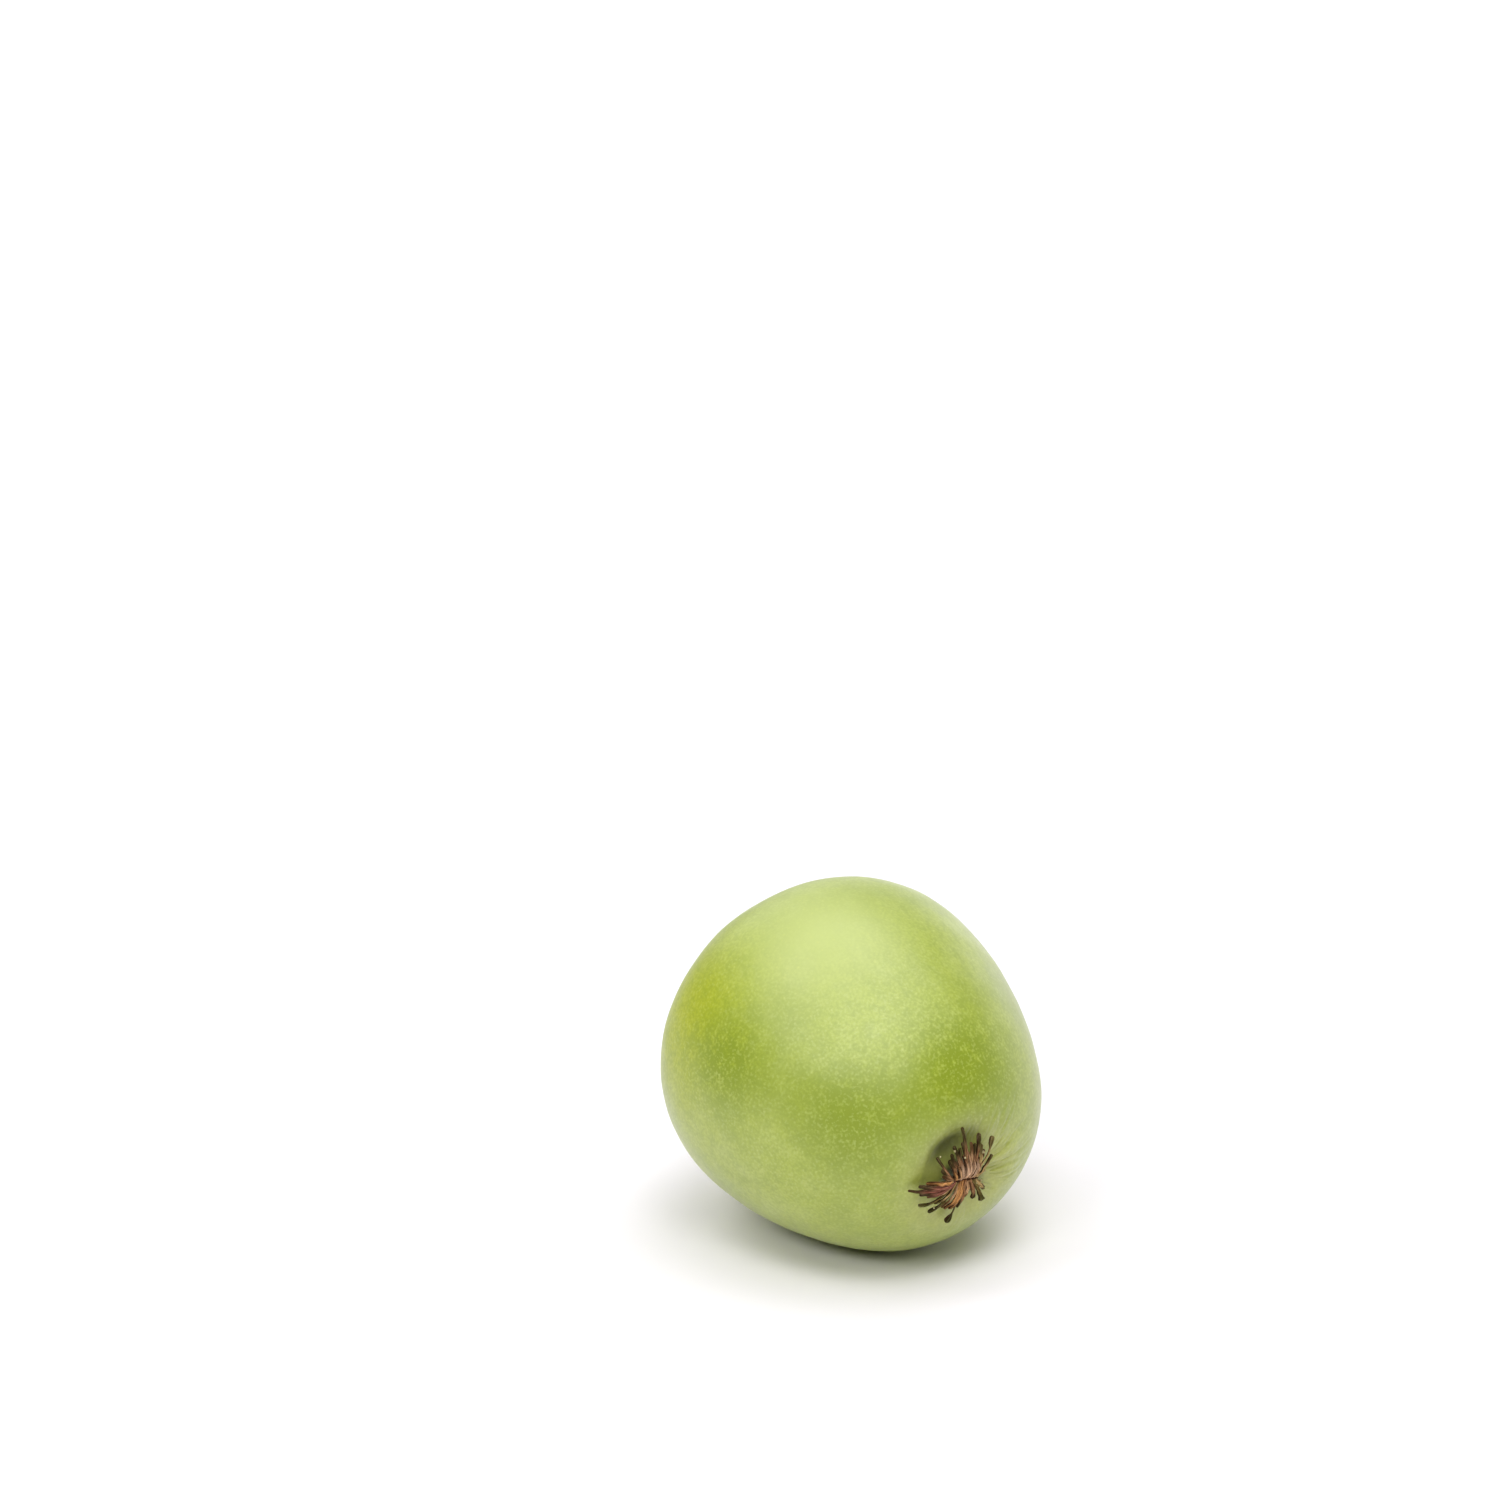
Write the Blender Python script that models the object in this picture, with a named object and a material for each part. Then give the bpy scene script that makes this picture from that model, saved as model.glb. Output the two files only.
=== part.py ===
"""Kiwi berry: a small smooth-skinned kiwi fruit with its dried tuft of styles, lying on its side.

The fruit's axis runs along X, with the style end towards +X and dipping a little. It lies on a
small flat spot, whose middle is the origin, and +Z is up. Lengths in this script are in
millimetres and turn into metres where a mesh is made. A point near the fruit is first worked out
in the fruit's own frame: the axis along +X through the middle of the fruit, and turns about the
axis counted from +Y towards +Z.
"""
import math
import random

import bmesh
import bpy
from mathutils import Matrix, Vector

MM = 0.001

# Fruit body: half sizes, how its outline departs from an ellipse, and how it lies
HALF_LENGTH = 13.6
HALF_WIDTH = 12.7
HALF_HEIGHT = 12.3
TAPER = 0.18
BLUNTNESS = 0.16
SHOULDER = 0.08
LEAN_DEG = 16.25
REST_SINK = 0.28

# Faint lengthwise ridges: how many around, their height as a share of the radius, and their turn
RIDGES = ((3, 0.0045, 1.75), (5, 0.0035, 0.35))

# Dimple at the style end, with creases that fan out of it, deeper on one side
DIMPLE_DEPTH = 1.1
DIMPLE_RADIUS = 2.6
CREASE_COUNTS = (9, 14)
CREASE_DEPTH = 0.11
CREASE_RADIUS = 2.6
CREASE_SIDE_DEG = 18.0

# Hollow on the upper side of the dimple: its depth, how far out and how wide it is, its turn, and
# how fast it fades to both sides of that turn
HOLLOW_DEPTH = 0.95
HOLLOW_REACH = 2.9
HOLLOW_WIDTH = 1.05
HOLLOW_TURN_DEG = 122.0
HOLLOW_FADE = 4

# Basin at the stem end, with the raised rim of the scar where the stalk came off
BASIN_DEPTH = 0.9
BASIN_RADIUS = 3.0
SCAR_RADIUS = 1.15
SCAR_RIM_WIDTH = 0.42
SCAR_HEIGHT = 0.4

# Fineness of the body's mesh
RINGS = 48
COLUMNS = 72
END_CROWDING = 0.65
WELD_DISTANCE = 0.01

# Base of the styles: a low oval pad in the dimple, and its rings as shares of height and width
GAP = 0.3
PAD_HALF_LENGTH = 1.1
PAD_HALF_WIDTH = 0.5
PAD_HEIGHT = 0.5
PAD_SIDES = 20
PAD_RINGS = ((0.0, 0.55), (0.2, 0.95), (0.65, 1.0), (0.95, 0.7))

# Parting line that the styles leave on both sides: its turn and its shift from the axis
PARTING_TURN_DEG = -6.7
PARTING_SHIFT = -0.12

# Styles: heights of their middle lines over the skin, and how they thicken to a club-shaped tip
ROOT_SPREAD = 0.07
ROOT_HEIGHT = 0.38
TIP_HEIGHT = 0.22
FLATNESS = 0.8
CLUB_START = 0.74
CLUB_END = 0.9
TIP_LENGTH = 0.12
BEND = 0.08
STYLE_SIDES = 6
STYLE_STEPS = 8
STYLE_SEED = 7

# Fans of styles: first and last root along the parting line, first and last turn in degrees, how
# many, reach at the edges and in the middle of the fan, lift, shaft width and tip width
FANS = (
    (-1.00, 0.92, 139.8, 69.8, 5, 3.8, 4.7, 0.22, 0.24, 0.34),
    (-0.90, 1.00, 131.8, 60.8, 8, 2.9, 3.5, 0.24, 0.26, 0.30),
    (-0.92, 0.78, 136.8, 73.8, 8, 2.1, 2.6, 0.58, 0.26, 0.24),
    (-1.00, -0.98, 169.8, 182.3, 4, 3.9, 4.5, 0.32, 0.36, 0.30),
    (-0.90, -0.12, 189.8, 242.8, 7, 2.9, 3.7, 0.26, 0.26, 0.28),
    (0.02, 0.02, 250.8, 250.8, 1, 3.5, 3.5, 0.05, 0.20, 0.46),
    (0.08, 0.90, 258.8, 324.8, 5, 2.1, 2.1, 0.20, 0.28, 0.34),
)

SHARP_ANGLE_DEG = 50.0
SKIN_COLOUR = (0.43, 0.54, 0.13, 1.0)
SKIN_ROUGHNESS = 0.5
STYLE_COLOUR = (0.17, 0.08, 0.045, 1.0)
STYLE_ROUGHNESS = 0.85


def bump(distance, radius):
    """A smooth hump of height 1 that fades out beyond radius."""
    return math.exp(-((distance / radius) ** 2))


def outline(t):
    """Distance along the axis and relative half width at t, from style end (0) to stem end (pi)."""
    c = math.cos(t)
    fullness = 1.0 - TAPER * c + BLUNTNESS * c * c + SHOULDER * c ** 3
    return HALF_LENGTH * c, math.sin(t) * fullness


def radius_around(turn):
    """Half width of the oval section at a turn about the axis."""
    return math.hypot(HALF_WIDTH * math.cos(turn), HALF_HEIGHT * math.sin(turn))


def dimple_relief(from_axis, turn):
    """How far the creased dimple stands out along the axis from the plain outline."""
    wave = sum(math.cos(count * turn + count) for count in CREASE_COUNTS) / len(CREASE_COUNTS)
    reach = from_axis / CREASE_RADIUS
    side = 0.6 + 0.4 * math.cos(turn - math.radians(CREASE_SIDE_DEG))
    crease = CREASE_DEPTH * side * wave * reach * reach * math.exp(1.0 - reach * reach)
    return crease - DIMPLE_DEPTH * bump(from_axis, DIMPLE_RADIUS)


def hollow_relief(from_axis, turn):
    """How far the skin sinks in the hollow on the upper side of the dimple."""
    towards = max(0.0, math.cos(turn - math.radians(HOLLOW_TURN_DEG)))
    return -HOLLOW_DEPTH * towards ** HOLLOW_FADE * bump(from_axis - HOLLOW_REACH, HOLLOW_WIDTH)


def stem_end_relief(from_axis):
    """How far the basin and the scar's rim stand out along the axis from the plain outline."""
    rim = SCAR_HEIGHT * bump(from_axis - SCAR_RADIUS, SCAR_RIM_WIDTH)
    return rim - BASIN_DEPTH * bump(from_axis, BASIN_RADIUS)


def skin_point(t, turn):
    """Point of the skin in the fruit's own frame."""
    along, out = outline(t)
    ridge = sum(height * math.cos(count * turn + start) for count, height, start in RIDGES)
    from_axis = radius_around(turn) * out * (1.0 + ridge * math.sin(t))
    if along > 0.0:
        along += dimple_relief(from_axis, turn) + hollow_relief(from_axis, turn)
    else:
        along -= stem_end_relief(from_axis)
    return Vector((along, from_axis * math.cos(turn), from_axis * math.sin(turn)))


def skin_level(y, z):
    """How far along the axis the skin of the style end lies, at a place beside the axis."""
    from_axis = math.hypot(y, z)
    turn = math.atan2(z, y)
    low, high = 0.0, 0.5 * math.pi
    for _ in range(40):
        middle = 0.5 * (low + high)
        if radius_around(turn) * outline(middle)[1] < from_axis:
            low = middle
        else:
            high = middle
    return skin_point(low, turn).x


def rest_level(y, z):
    """The level that the tuft rests over: the skin's, as if the hollow were not there."""
    return skin_level(y, z) - hollow_relief(math.hypot(y, z), math.atan2(z, y))


def belly_drop():
    """How far the lowest point of the leaning skin is below the middle of the fruit, and its x."""
    lean = Matrix.Rotation(math.radians(LEAN_DEG), 3, "Y")
    steps = 720
    belly = [lean @ skin_point(math.pi * i / steps, -0.5 * math.pi) for i in range(1, steps)]
    lowest = min(belly, key=lambda p: p.z)
    return -lowest.z, lowest.x


def fruit_to_row():
    """Transform from the fruit's own frame, in millimetres, to the part's frame, in metres."""
    drop, x = belly_drop()
    lean = Matrix.Rotation(math.radians(LEAN_DEG), 4, "Y")
    place = Matrix.Translation((-x, 0.0, drop - REST_SINK))
    return Matrix.Scale(MM, 4) @ place @ lean


def ring_positions():
    """Values of t between the two ends, closer together near the ends."""
    for i in range(1, RINGS):
        share = i / RINGS
        yield math.pi * share - 0.5 * END_CROWDING * math.sin(2.0 * math.pi * share)


def make_material(name, colour, roughness):
    material = bpy.data.materials.new(name)
    material.use_nodes = True
    shader = material.node_tree.nodes["Principled BSDF"]
    shader.inputs["Base Color"].default_value = colour
    shader.inputs["Roughness"].default_value = roughness
    shader.inputs["Metallic"].default_value = 0.0
    material.diffuse_color = colour
    return material


def make_object(name, bm, material):
    """Turn a bmesh into a named, smooth-shaded object with one material."""
    bmesh.ops.recalc_face_normals(bm, faces=bm.faces[:])
    mesh = bpy.data.meshes.new(name)
    bm.to_mesh(mesh)
    bm.free()
    mesh.shade_smooth()
    mesh.set_sharp_from_angle(angle=math.radians(SHARP_ANGLE_DEG))
    mesh.materials.append(material)
    made = bpy.data.objects.new(name, mesh)
    bpy.context.scene.collection.objects.link(made)
    return made


def cap(bm, ring, tip):
    """Close a ring of vertices with a fan of triangles to one point."""
    for a, b in zip(ring, ring[1:] + ring[:1]):
        bm.faces.new((a, b, tip))


def bridge(bm, rings):
    """Join neighbouring rings of vertices with quads."""
    for low, high in zip(rings, rings[1:]):
        count = len(low)
        for i in range(count):
            j = (i + 1) % count
            bm.faces.new((low[i], low[j], high[j], high[i]))


def make_berry(to_row, material):
    """The whole fruit as one closed skin, cut flat where it lies."""
    bm = bmesh.new()
    rings = []
    for t in ring_positions():
        turns = (2.0 * math.pi * i / COLUMNS for i in range(COLUMNS))
        rings.append([bm.verts.new(to_row @ skin_point(t, turn)) for turn in turns])
    bridge(bm, rings)
    cap(bm, rings[0], bm.verts.new(to_row @ skin_point(0.0, 0.0)))
    cap(bm, rings[-1], bm.verts.new(to_row @ skin_point(math.pi, 0.0)))
    everything = bm.verts[:] + bm.edges[:] + bm.faces[:]
    cut = bmesh.ops.bisect_plane(
        bm, geom=everything, plane_co=(0.0, 0.0, 0.0), plane_no=(0.0, 0.0, 1.0), clear_inner=True)
    rim = [item for item in cut["geom_cut"] if isinstance(item, bmesh.types.BMEdge)]
    bmesh.ops.remove_doubles(bm, verts=bm.verts[:], dist=WELD_DISTANCE * MM)
    bmesh.ops.holes_fill(bm, edges=[edge for edge in rim if edge.is_valid and edge.is_boundary])
    return make_object("berry", bm, material)


def parting_point(along, across):
    """Place by its distances along and across the parting line, as (y, z) in the fruit's frame."""
    turn = math.radians(PARTING_TURN_DEG)
    along += PARTING_SHIFT
    y = along * math.cos(turn) - across * math.sin(turn)
    z = along * math.sin(turn) + across * math.cos(turn)
    return y, z


def make_pad():
    """Low oval pad that the styles grow from, clear of the bottom of the dimple."""
    bm = bmesh.new()
    rings = []
    bottom = skin_level(*parting_point(0.0, 0.0)) + GAP
    for height, width in PAD_RINGS:
        ring = []
        for i in range(PAD_SIDES):
            angle = 2.0 * math.pi * i / PAD_SIDES
            along = PAD_HALF_LENGTH * width * math.cos(angle)
            across = PAD_HALF_WIDTH * width * math.sin(angle)
            y, z = parting_point(along, across)
            level = max(bottom, skin_level(y, z) + GAP)
            ring.append(bm.verts.new((level + height * PAD_HEIGHT, y, z)))
        rings.append(ring)
    bridge(bm, rings)
    y, z = parting_point(0.0, 0.0)
    cap(bm, rings[0], bm.verts.new((bottom, y, z)))
    cap(bm, rings[-1], bm.verts.new((bottom + PAD_HEIGHT, y, z)))
    return bm


def smooth(value, start, end):
    """0 at start and 1 at end, with a soft change between."""
    share = min(1.0, max(0.0, (value - start) / (end - start)))
    return share * share * (3.0 - 2.0 * share)


def style_point(root, turn, reach, lift, bend, share):
    """Point of a style's middle line, from its root at the parting line (0) to its tip (1)."""
    upper = math.sin(turn - math.radians(PARTING_TURN_DEG)) > 0.0
    root_y, root_z = parting_point(root, ROOT_SPREAD if upper else -ROOT_SPREAD)
    sway = bend * math.sin(math.pi * share)
    y = root_y + (reach * math.cos(turn) - root_y) * share - sway * math.sin(turn)
    z = root_z + (reach * math.sin(turn) - root_z) * share + sway * math.cos(turn)
    height = ROOT_HEIGHT + (TIP_HEIGHT - ROOT_HEIGHT) * share + lift * math.sin(math.pi * share)
    return Vector((rest_level(y, z) + GAP + height, y, z))


def make_style(place, width, club):
    """One style as a closed, flattened tube along its middle line, with a club-shaped tip."""
    bm = bmesh.new()
    route = [style_point(*place, i / STYLE_STEPS) for i in range(STYLE_STEPS + 1)]
    rings = []
    for i, point in enumerate(route):
        ahead = route[min(i + 1, STYLE_STEPS)] - route[max(i - 1, 0)]
        side = Vector((1.0, 0.0, 0.0)).cross(ahead).normalized()
        rise = ahead.cross(side).normalized()
        half = 0.5 * (width + (club - width) * smooth(i / STYLE_STEPS, CLUB_START, CLUB_END))
        ring = []
        for k in range(STYLE_SIDES):
            angle = 2.0 * math.pi * k / STYLE_SIDES
            across = side * math.cos(angle) + rise * (FLATNESS * math.sin(angle))
            ring.append(bm.verts.new(point + across * half))
        rings.append(ring)
    bridge(bm, rings)
    cap(bm, rings[0], bm.verts.new(route[0]))
    end = (route[-1] - route[-2]).normalized() * TIP_LENGTH
    cap(bm, rings[-1], bm.verts.new(route[-1] + end))
    return bm


def all_styles():
    """Place, shaft width and tip width of every style, fan by fan."""
    draw = random.Random(STYLE_SEED)
    for root_a, root_b, turn_a, turn_b, count, edge, middle, lift, width, club in FANS:
        for i in range(count):
            share = i / max(1, count - 1)
            root = root_a + (root_b - root_a) * share
            turn = math.radians(turn_a + (turn_b - turn_a) * share + draw.uniform(-1.0, 1.0))
            reach = middle + (edge - middle) * abs(2.0 * share - 1.0) + draw.uniform(-0.15, 0.15)
            yield (root, turn, reach, lift, draw.uniform(-BEND, BEND)), width, club


def make_tuft(to_row, material):
    """The dried tuft: its pad and all its styles, joined into one body."""
    pad = make_object("style_tuft", make_pad(), material)
    styles = bpy.data.collections.new("styles")
    bpy.context.scene.collection.children.link(styles)
    for number, settings in enumerate(all_styles()):
        style = make_object("style_%02d" % number, make_style(*settings), material)
        bpy.context.scene.collection.objects.unlink(style)
        styles.objects.link(style)
    union = pad.modifiers.new("join", "BOOLEAN")
    union.operation = "UNION"
    union.operand_type = "COLLECTION"
    union.collection = styles
    union.solver = "EXACT"
    apply_modifiers(pad)
    keep_outer_shell(pad.data)
    for style in list(styles.objects):
        bpy.data.objects.remove(style)
    bpy.data.collections.remove(styles)
    pad.data.transform(to_row)
    return pad


def apply_modifiers(made):
    """Keep the evaluated mesh of an object in place of its modifiers."""
    bpy.context.view_layer.update()
    evaluated = made.evaluated_get(bpy.context.evaluated_depsgraph_get())
    result = bpy.data.meshes.new_from_object(evaluated)
    made.modifiers.clear()
    made.data = result


def keep_outer_shell(mesh):
    """Fill the small hollows that the union sealed: drop every shell but the one with most points."""
    bm = bmesh.new()
    bm.from_mesh(mesh)
    shells = []
    unseen = set(bm.verts)
    while unseen:
        shell = [unseen.pop()]
        for vert in shell:
            near = {edge.other_vert(vert) for edge in vert.link_edges} & unseen
            unseen -= near
            shell += near
        shells.append(shell)
    shells.sort(key=len)
    for shell in shells[:-1]:
        bmesh.ops.delete(bm, geom=shell, context="VERTS")
    bm.to_mesh(mesh)
    bm.free()


def main():
    for old in list(bpy.data.objects):
        bpy.data.objects.remove(old)
    to_row = fruit_to_row()
    make_berry(to_row, make_material("berry_skin", SKIN_COLOUR, SKIN_ROUGHNESS))
    make_tuft(to_row, make_material("dried_styles", STYLE_COLOUR, STYLE_ROUGHNESS))


main()
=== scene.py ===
"""Kiwi berry, dressed: fine skin, dried styles, studio floor, lights and camera.

The fruit's form repeats the named values of the model that it dresses, in millimetres. A point is
first worked out in the fruit's own frame, with the axis along +X and turns counted from +Y towards
+Z, and then moves to the model's frame, in metres, where the floor is at z = 0.
"""

import math
import random

import bpy
import numpy as np
from mathutils import Matrix, Vector, noise


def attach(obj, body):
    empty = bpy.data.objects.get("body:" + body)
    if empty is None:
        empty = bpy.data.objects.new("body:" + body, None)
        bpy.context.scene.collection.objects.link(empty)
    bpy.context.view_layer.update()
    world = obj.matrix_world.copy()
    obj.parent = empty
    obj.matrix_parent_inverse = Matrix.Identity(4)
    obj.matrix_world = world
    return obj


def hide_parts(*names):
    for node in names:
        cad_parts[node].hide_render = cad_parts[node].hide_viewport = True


MM = 0.001

# Fruit body, as in the model
HALF_LENGTH = 13.6
HALF_WIDTH = 12.7
HALF_HEIGHT = 12.3
TAPER = 0.18
BLUNTNESS = 0.16
SHOULDER = 0.08
LEAN_DEG = 16.25
REST_SINK = 0.28
RIDGES = ((3, 0.0045, 1.75), (5, 0.0035, 0.35))
DIMPLE_DEPTH = 1.1
DIMPLE_RADIUS = 2.6
CREASE_COUNTS = (9, 14)
CREASE_DEPTH = 0.11
CREASE_RADIUS = 2.6
CREASE_SIDE_DEG = 18.0
HOLLOW_DEPTH = 0.95
HOLLOW_REACH = 2.9
HOLLOW_WIDTH = 1.05
HOLLOW_TURN_DEG = 122.0
HOLLOW_FADE = 4
BASIN_DEPTH = 0.9
BASIN_RADIUS = 3.0
SCAR_RADIUS = 1.15
SCAR_RIM_WIDTH = 0.42
SCAR_HEIGHT = 0.4

# Fine form of the skin, and the mesh that carries it
RINGS = 230
COLUMNS = 320
END_CROWDING = 0.72
WRINKLE_DEPTH = 0.09
WRINKLE_RADIUS = 3.3
WRINKLE_LEAST = 0.02
FOLD_SCALE = 6.0
FOLD_WIDTH = 0.16
PLEAT_SCALE = 13.0
PLEAT_WIDTH = 0.2
SWELLING_SIZE = 4.5
SWELLING_HEIGHT = 0.05
SWELLING_DETAIL = 2.3
SCAR_GRAIN = 0.08
SCAR_GRAIN_REACH = 1.4
SCAR_GRAIN_DETAIL = 16.0

# Tuft, as in the model
GAP = 0.3
PAD_HALF_LENGTH = 1.1
PAD_HALF_WIDTH = 0.5
PAD_HEIGHT = 0.5
PARTING_TURN_DEG = -6.7
PARTING_SHIFT = -0.12
ROOT_SPREAD = 0.07
ROOT_HEIGHT = 0.38
TIP_HEIGHT = 0.22

# Fineness of the tuft
PAD_SIDES = 64
PAD_RINGS = 10
CRUMB_STEPS = 8
CRUMB_SIDES = 12
STYLE_STEPS = 24
TIP_STEPS = 6
STYLE_SIDES = 16
TUFT_SEED = 11
NOISE_START_MOST = 100.0

# Form of the pad: size of its two ends, roundness, and waves of its edge (count, depth, start)
PAD_END_SCALE = 0.35
PAD_ROUNDNESS = 0.6
PAD_EDGE = ((11.0, 0.08, 0.0), (17.0, 0.05, 1.0))

# Form of a style. Thickness is a share of its width, less for styles wider than WIDE_SHAFT.
# The spans along it say where the club and the tip's tone begin and are full, from root to tip.
THICKNESS = 0.8
WIDE_SHAFT = 0.33
WIDE_THICKNESS = 0.55
CLUB_SPAN = (0.74, 0.9)
TIP_TONE_SPAN = (0.55, 0.85)
TIP_ROUNDING = 0.6
GROOVE_COUNTS = (3, 4, 5)
GROOVE_START_MOST = 6.28
TWIST_MOST = 2.0
STEP_AHEAD = 0.02

# Unevenness of a style, as shares of its width
GROOVE_DEPTH = 0.16
LUMP_HEIGHT = 0.22
SWELL_HEIGHT = 0.22
SIDE_WOBBLE = 0.16
RISE_WOBBLE = 0.30

# Tone of a style: span from the painted shade of its grooves and underside to its own tone on top,
# span of its own lightness, and stretch of its fibres
SHADE_TO_LIT_SPAN = (-0.3, 1.1)
SHADE_SPAN = (1.05, 1.65)
FIBRE_STRETCH = 0.45

# Unevenness of a crumb
CRUMB_ROUGHNESS = 0.8
CRUMB_DETAIL = 1.5

# Styles: root along the parting line, turn in degrees, reach, lift, sideways bend, shaft width,
# tip width and tone. Lengths are in millimetres.
STYLES = (
    (-1.00, 139.8, 4.10, 0.20, 0.10, 0.16, 0.20, "umber"),
    (-0.90, 132.8, 3.00, 0.25, -0.08, 0.28, 0.34, "umber"),
    (-0.75, 125.8, 3.35, 0.20, 0.05, 0.24, 0.26, "umber"),
    (-0.60, 119.8, 3.80, 0.25, -0.10, 0.24, 0.28, "umber"),
    (-0.42, 113.8, 3.35, 0.20, 0.10, 0.20, 0.22, "straw"),
    (-0.20, 108.8, 3.70, 0.25, -0.05, 0.24, 0.24, "umber"),
    (-0.02, 105.3, 4.75, 0.20, 0.12, 0.24, 0.24, "umber"),
    (0.15, 98.8, 3.45, 0.25, 0.05, 0.24, 0.26, "tan"),
    (0.35, 92.8, 3.20, 0.20, -0.08, 0.24, 0.24, "umber"),
    (0.50, 87.8, 3.90, 0.25, 0.08, 0.26, 0.36, "umber"),
    (0.68, 80.8, 3.00, 0.20, -0.05, 0.22, 0.24, "straw"),
    (0.82, 72.8, 2.60, 0.20, 0.06, 0.24, 0.22, "tan"),
    (0.92, 69.8, 3.70, 0.25, 0.12, 0.13, 0.36, "straw"),
    (1.02, 47.8, 2.45, 0.15, 0.00, 0.24, 0.22, "straw"),
    (-0.92, 136.8, 2.30, 0.45, 0.05, 0.24, 0.22, "rust"),
    (-0.68, 126.8, 2.45, 0.55, -0.04, 0.24, 0.22, "tan"),
    (-0.44, 117.8, 2.60, 0.60, 0.06, 0.25, 0.23, "pink"),
    (-0.20, 109.8, 2.50, 0.62, -0.03, 0.25, 0.23, "pink"),
    (0.05, 102.8, 2.70, 0.62, 0.05, 0.25, 0.23, "pink"),
    (0.30, 94.8, 2.45, 0.60, 0.03, 0.25, 0.23, "pink"),
    (0.54, 85.8, 2.30, 0.52, -0.04, 0.24, 0.22, "pink"),
    (0.78, 73.8, 1.90, 0.42, 0.05, 0.24, 0.22, "tan"),
    (-1.00, 148.8, 3.00, 0.25, 0.05, 0.24, 0.26, "umber"),
    (-1.02, 158.8, 2.50, 0.30, 0.00, 0.24, 0.22, "tan"),
    (-1.00, 169.8, 3.70, 0.35, -0.15, 0.32, 0.28, "rust"),
    (-1.05, 173.8, 4.20, 0.40, -0.08, 0.38, 0.30, "plum"),
    (-1.02, 178.3, 4.85, 0.20, 0.00, 0.30, 0.20, "plum"),
    (-0.98, 182.3, 4.00, 0.32, 0.08, 0.40, 0.32, "plum"),
    (-0.90, 188.8, 3.40, 0.20, 0.12, 0.24, 0.22, "tan"),
    (-0.80, 197.8, 4.05, 0.15, 0.18, 0.20, 0.28, "olive"),
    (-0.68, 205.8, 2.90, 0.30, 0.10, 0.22, 0.22, "straw"),
    (-0.55, 213.3, 3.55, 0.15, 0.18, 0.20, 0.28, "olive"),
    (-0.42, 222.8, 2.60, 0.30, 0.08, 0.24, 0.22, "tan"),
    (-0.28, 232.8, 2.60, 0.35, 0.10, 0.30, 0.26, "rust"),
    (-0.12, 242.8, 2.45, 0.35, 0.08, 0.32, 0.28, "rust"),
    (0.02, 250.8, 3.50, 0.05, 0.05, 0.12, 0.48, "olive"),
    (0.08, 258.8, 2.25, 0.30, 0.05, 0.28, 0.24, "umber"),
    (0.30, 274.8, 1.60, 0.25, 0.00, 0.26, 0.24, "tan"),
    (0.55, 295.8, 1.95, 0.15, 0.00, 0.30, 0.34, "umber"),
    (0.72, 307.8, 2.60, 0.10, 0.05, 0.30, 0.44, "olive"),
    (0.90, 324.8, 2.05, 0.10, 0.00, 0.26, 0.28, "straw"),
)

# Crumbs of pollen sacs caught in the tuft: reach, turn in degrees, height over the skin, size
CRUMBS = (
    (1.0, 332.8, 0.75, 0.16),
    (1.3, 344.8, 0.70, 0.14),
    (1.7, 332.8, 0.55, 0.15),
    (1.5, 14.8, 0.60, 0.12),
    (2.6, 79.8, 1.00, 0.18),
    (2.9, 114.8, 1.15, 0.14),
    (3.6, 121.8, 0.75, 0.14),
    (4.0, 136.8, 0.65, 0.10),
    (3.1, 207.8, 0.80, 0.10),
)

# Colours, linear
SKIN_GREEN = (0.36, 0.44, 0.022, 1.0)
# Deeper green: the skin's own random tone, and the colour of painted shade along the front band
SKIN_DEEP_AND_SHADE = (0.235, 0.31, 0.003, 1.0)
# Yellower green: the skin's yellower side, and painted reflection of a neighbouring fruit at the left rim
SKIN_YELLOW_AND_REFLECTION = (0.398, 0.447, 0.001, 1.0)
# Pale green: the skin's own random tone, and the colour of the painted highlight, bluer for it
SKIN_PALE_AND_HIGHLIGHT = (0.49, 0.57, 0.155, 1.0)
SKIN_DOT = (0.52, 0.58, 0.12, 1.0)
SKIN_TAN = (0.50, 0.46, 0.17, 1.0)
# Dark olive: the halo of the stem scar, and the colour of painted shade around the tuft's root and in the
# hollow
SKIN_OLIVE_AND_SHADE = (0.14, 0.155, 0.035, 1.0)
CORK = (0.26, 0.155, 0.06, 1.0)
CORK_DARK = (0.075, 0.036, 0.012, 1.0)
FIBRE_DARK = (0.28, 0.22, 0.14, 1.0)
FIBRE_LIGHT = (0.62, 0.48, 0.28, 1.0)
FIBRE_LIGHT_SHARE = 0.35
FLOOR_COLOUR = (0.89, 0.865, 0.905, 1.0)

# Patches of the skin: middle and radius in millimetres, and strength where it isn't full
# Painted shade: deeper green patches along the dark band between the lit top and the floor's bounce
PAINTED_SHADE_PATCHES = (
    ((0.0, -12.2, 3.6), 5.5),
    ((9.5, -7.7, 4.2), 6.5),
    ((10.6, 0.2, 7.6), 7.4),
)
# Painted highlight: a pale patch on the upper side where the top lights reflect
PAINTED_HIGHLIGHT_PATCH = ((-2.0, -4.5, 11.5), 9.0, 0.85)
# Yellower skin on the left side, widened over the left rim as painted reflection of a neighbouring fruit
YELLOW_AND_REFLECTION_PATCH = ((-6.6, -12.0, 3.5), 9.8)
# Darker olive skin with painted shade in the hollow beside the tuft
HOLLOW_SHADE_PATCH = ((12.0, -1.6, 2.3), 2.5, 0.7)

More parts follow.
